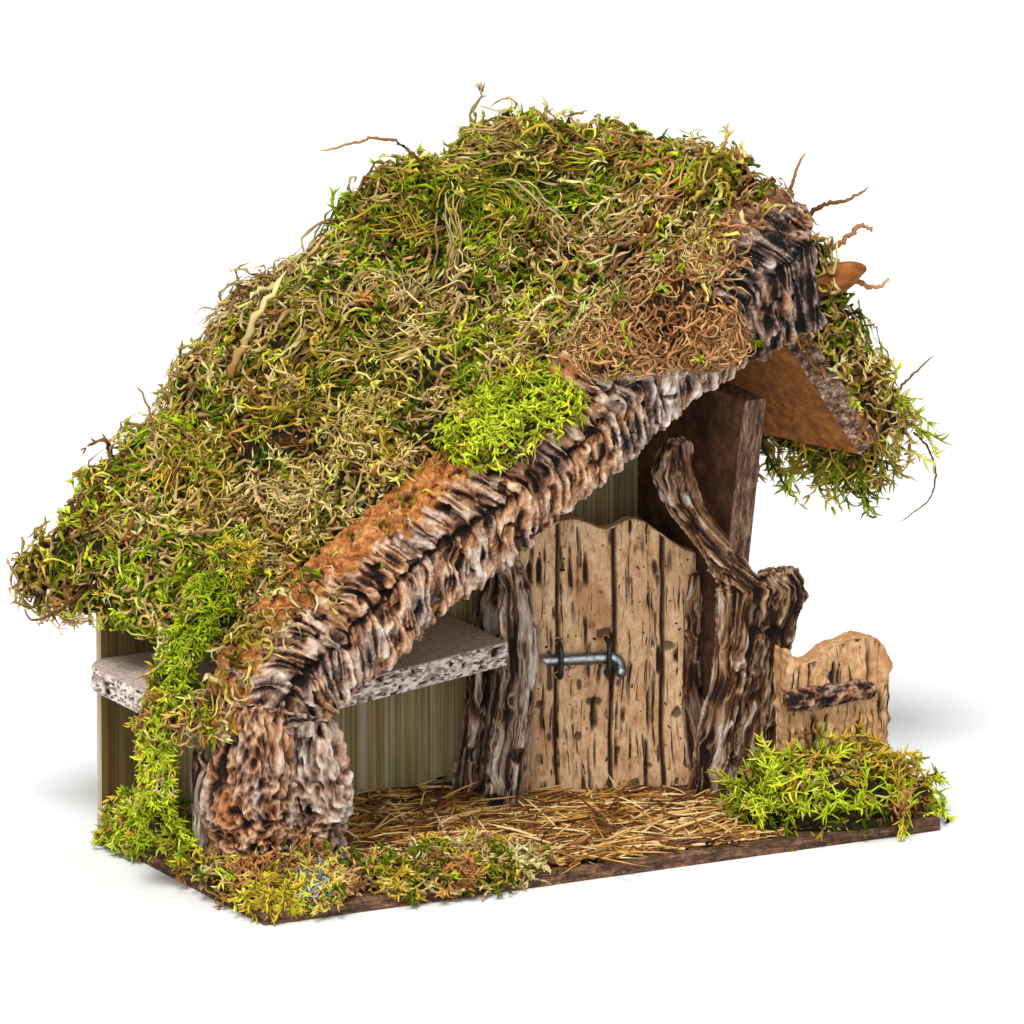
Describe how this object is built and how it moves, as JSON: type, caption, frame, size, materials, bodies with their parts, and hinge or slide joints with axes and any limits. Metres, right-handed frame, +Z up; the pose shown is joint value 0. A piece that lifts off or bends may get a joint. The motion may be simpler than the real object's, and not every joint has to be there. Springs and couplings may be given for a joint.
{
  "type": "nativity stable",
  "caption": "Rustic nativity stable: board carcass with a skewed mossy roof, a cork bark arch, driftwood posts, a loft shelf and a plank door with a sliding bolt.",
  "frame": {"origin": "middle of the base board's underside, on the surface that it stands on", "axes": "+X to the right along the front, +Y towards the back wall, +Z up"},
  "size_m": [0.3578, 0.1714, 0.272],
  "materials": {
    "hardboard": "raw dark hardboard",
    "plywood": "grey green stain over plywood",
    "chipboard": "raw chipboard, dark faces and pale edges",
    "pin_steel": "plain",
    "cork_bark": "deeply ridged cork bark",
    "cork_light": "cut cork with slits and pores",
    "driftwood": "weathered vine wood",
    "bolt_steel": "dull steel",
    "black_wire": "black wire",
    "slate": "split slate",
    "moss": "dried and dyed moss",
    "straw": "dry straw"
  },
  "bodies": {
    "stable": {"base_board": "hardboard", "back_wall": "plywood", "right_wall": "chipboard", "loft_board": "chipboard", "roof_board_left": "chipboard", "roof_board_right": "chipboard", "back_wall_pins": "pin_steel", "ridge_pins": "pin_steel", "cork_arch_lower": "cork_bark", "cork_arch_upper": "cork_bark", "cork_ridge_end": "cork_bark", "cork_trunk": "cork_bark", "cork_trunk_side": "cork_bark", "trunk_stem": "driftwood", "door": "cork_light", "staple_left": "black_wire", "staple_right": "black_wire", "door_post_front": "driftwood", "door_post_rear": "driftwood", "door_post_strand": "driftwood", "root_branch": "driftwood", "root_stub": "driftwood", "root_strand": "driftwood", "garden_wall": "cork_light", "garden_rail": "cork_bark", "slate_chip": "slate", "bark_scrap": "cork_bark", "base_moss_left": "moss", "base_moss_front_left": "moss", "base_moss_front": "moss", "base_moss_right": "moss", "straw_bed": "straw", "roof_moss_left": "moss", "roof_moss_right": "moss", "eave_moss_right": "moss", "moss_strand_left": "moss", "arch_moss_left": "moss", "arch_moss_right": "moss"},
    "bolt": {"bolt": "bolt_steel"}
  },
  "joints": [
    {"name": "bolt_slide", "type": "slide", "parent": "stable", "child": "bolt", "axis": [0.9563, -0.2924, 0], "range_m": [0, 0.006]}
  ]
}
